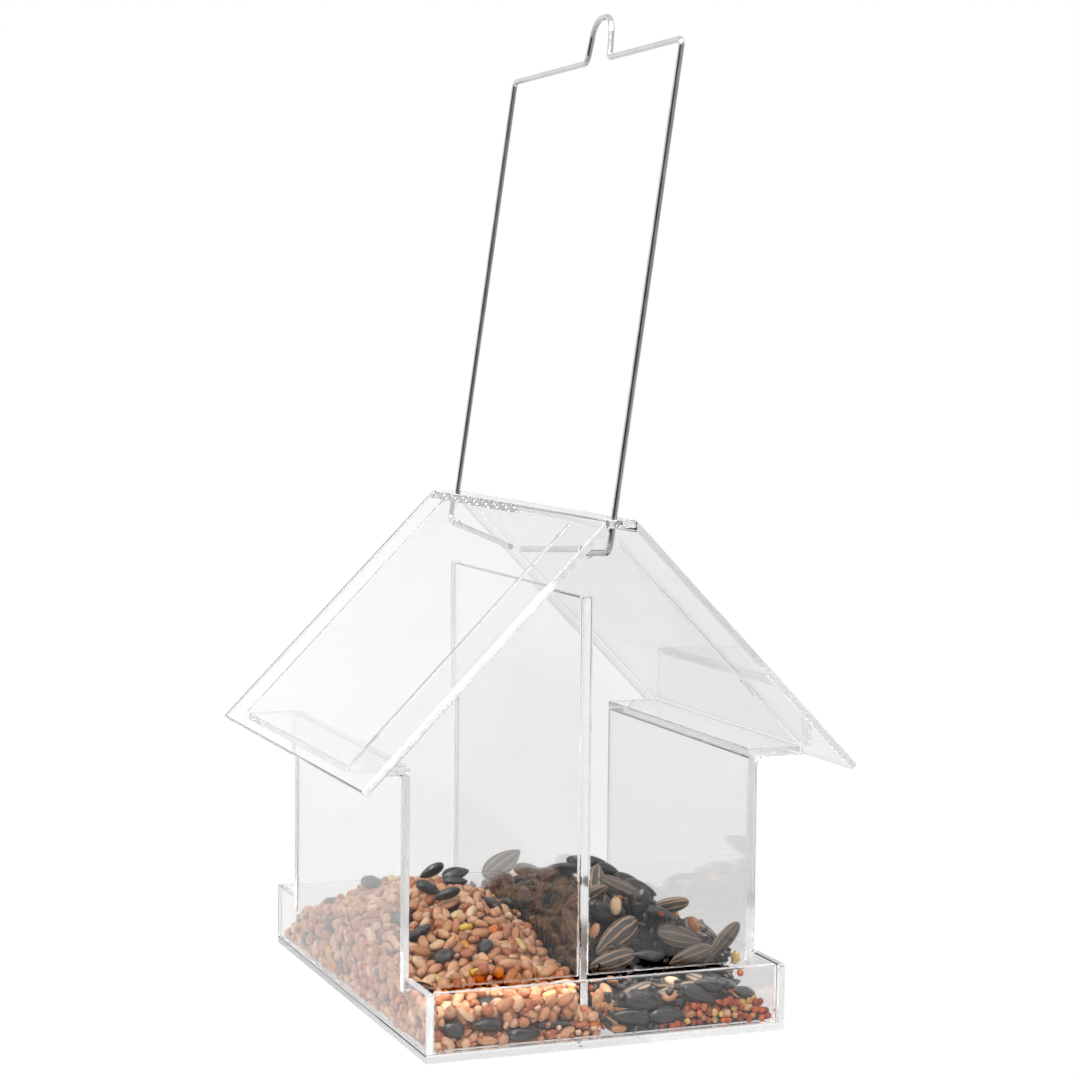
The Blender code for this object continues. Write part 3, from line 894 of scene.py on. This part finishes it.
def build_core(node, name, material):
    """What shows between the seeds, as painted shade: the CAD heap drawn in by a few millimetres. It
    replaces the heap.
    """
    mesh = bpy.data.meshes.new(name)
    mesh.from_pydata(core_points(node), [], core_faces(CORE_ACROSS, CORE_ALONG))
    piece = add_piece(name, mesh, material)
    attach(piece, "house")
    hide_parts(node)


def make_seed():
    wheat, milo, crumbs, maize, millet = make_grain_kinds()
    black, striped, husk_bits = make_sunflower_kinds()
    black_left = black.renamed("black_sunflower_left")
    black_right = black.renamed("black_sunflower_right")
    wheat_right = wheat.renamed("wheat_grains_right")
    maize_right = maize.renamed("maize_bits_right")
    fill_left(wheat, milo, crumbs, maize, black_left)
    fill_right(wheat_right, maize_right, millet, black_right, striped, husk_bits)
    for kind in (wheat, milo, maize, crumbs, black_left, black_right, striped):
        build_pieces(kind)
    for kind in (wheat_right, maize_right, millet, husk_bits):
        build_pieces(kind)
    # The cores' dark colours are painted shade for the gaps between the seeds
    mix_look = shade_core_material("mix_shade_core", (0.10, 0.035, 0.018), (0.26, 0.11, 0.05))
    husk_look = shade_core_material("husk_shade_core", (0.015, 0.015, 0.015), (0.05, 0.04, 0.035))
    build_core("seed_mix_heap", "seed_mix_core", mix_look)
    build_core("sunflower_seed_heap", "sunflower_core", husk_look)


# ---------------------------------------------- sheets, wire, floor, light, camera


def dress(node, material):
    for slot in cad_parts[node].material_slots:
        slot.material = material


def dress_sheets():
    low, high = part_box("roof_right_panel")
    slope = math.atan2(high.z - low.z, high.x - low.x)
    right_tilt = (math.sin(slope), 0.0, math.cos(slope))
    left_tilt = (-right_tilt[0], 0.0, right_tilt[2])
    facing_y = ("front_gable_wall", "back_gable_wall", "tray_front_rim", "tray_back_rim")
    facing_z = ("left_eave_ledge", "right_eave_ledge", "roof_ridge_strip")
    # material, nodes, thickness direction, tone of the faces, tone of the cut edges, frost on them
    groups = [
        ("acrylic_left_wall", ("left_side_wall",), ALONG_X, 0.94, 0.96, 0.14),
        # Painted shade: the right wall is toned darker than the same sheet on the left
        ("acrylic_right_wall_painted_shade", ("right_side_wall",), ALONG_X, 0.85, 0.84, 0.04),
        ("acrylic_divider", ("center_divider",), ALONG_X, 0.93, 0.90, 0.10),
        ("acrylic_y", facing_y, ALONG_Y, 0.97, 0.96, 0.14),
        ("acrylic_z", facing_z, ALONG_Z, 0.95, 0.95, 0.06),
        ("acrylic_floor", ("tray_floor",), ALONG_Z, 0.95, 0.80, 0.0),
        # Painted shade: the right roof panel is toned darker than the left one
        ("acrylic_right_roof_painted_shade", ("roof_right_panel",), right_tilt, 0.82, 0.70, 0.0),
        ("acrylic_left_roof", ("roof_left_panel",), left_tilt, 0.93, 0.68, 0.0),
    ]
    for name, nodes, across, tone, edge_tone, frost in groups:
        material = acrylic_material(name, across, tone, edge_tone, frost)
        for node in nodes:
            dress(node, material)


def make_floor():
    points = [(0.0, 0.0, FLOOR_Z)]
    for i in range(FLOOR_SIDES):
        angle = 2 * math.pi * i / FLOOR_SIDES
        points.append((FLOOR_RADIUS * math.cos(angle), FLOOR_RADIUS * math.sin(angle), FLOOR_Z))
    mesh = bpy.data.meshes.new("floor")
    mesh.from_pydata(points, [], [(0, i + 1, (i + 1) % FLOOR_SIDES + 1) for i in range(FLOOR_SIDES)])
    add_piece("floor", mesh, floor_material())


def toward(heading, height):
    """A direction from its heading, to the right of +Y, and its height above level, both in degrees."""
    heading, height = math.radians(heading), math.radians(height)
    return (math.sin(heading) * math.cos(height), math.cos(heading) * math.cos(height), math.sin(height))


def make_world():
    """A studio: a white backdrop, soft boxes above and to each side, and a dark room behind the camera."""
    world = bpy.data.worlds.new("studio")
    bpy.context.scene.world = world
    world.use_nodes = True
    n = Nodes(world.node_tree)
    background = n.add("Background")
    n.link(background.outputs[0], n.add("OutputWorld").inputs[0])
    direction = n.add("TexCoord").outputs["Generated"]
    brightness = ROOM
    for heading, height, whole, gone, light in LIGHTS:
        nearness = n.dot(direction, toward(heading, height))
        share = n.spread(nearness, math.cos(math.radians(gone)), math.cos(math.radians(whole)))
        change = n.math("MULTIPLY", share, n.math("SUBTRACT", light, brightness))
        brightness = n.math("ADD", brightness, change)
    n.link(brightness, background.inputs["Strength"])
    background.inputs["Color"].default_value = (1.0, 1.0, 1.0, 1.0)


def make_camera():
    camera = bpy.data.objects.new("camera", bpy.data.cameras.new("camera"))
    camera.data.lens = CAMERA_LENS
    camera.data.sensor_width = SENSOR_WIDTH
    camera.data.clip_start = 0.01
    camera.data.clip_end = 50.0
    ahead = Vector((math.sin(CAMERA_HEADING), math.cos(CAMERA_HEADING), 0.0))
    right = Vector((math.cos(CAMERA_HEADING), -math.sin(CAMERA_HEADING), 0.0))
    forward = ahead * math.cos(CAMERA_DOWN) - UP * math.sin(CAMERA_DOWN)
    upright = UP * math.cos(CAMERA_DOWN) + ahead * math.sin(CAMERA_DOWN)
    across = right * math.cos(CAMERA_ROLL) + upright * math.sin(CAMERA_ROLL)
    top = upright * math.cos(CAMERA_ROLL) - right * math.sin(CAMERA_ROLL)
    turn = Matrix((across, top, -forward)).transposed()
    camera.matrix_world = Matrix.Translation(CAMERA_PLACE) @ turn.to_4x4()
    bpy.context.scene.collection.objects.link(camera)
    bpy.context.scene.camera = camera


def set_view():
    view = bpy.context.scene.view_settings
    view.view_transform = "Standard"
    view.use_curve_mapping = True
    view.curve_mapping.black_level = (BLACK_LEVEL, BLACK_LEVEL, BLACK_LEVEL)
    view.curve_mapping.update()
    cycles = bpy.context.scene.cycles
    cycles.max_bounces = ALL_BOUNCES
    cycles.glossy_bounces = SHEET_BOUNCES
    cycles.transmission_bounces = SHEET_BOUNCES


dress_sheets()
dress("wire_hanger", wire_material())
make_seed()
make_floor()
make_world()
make_camera()
set_view()
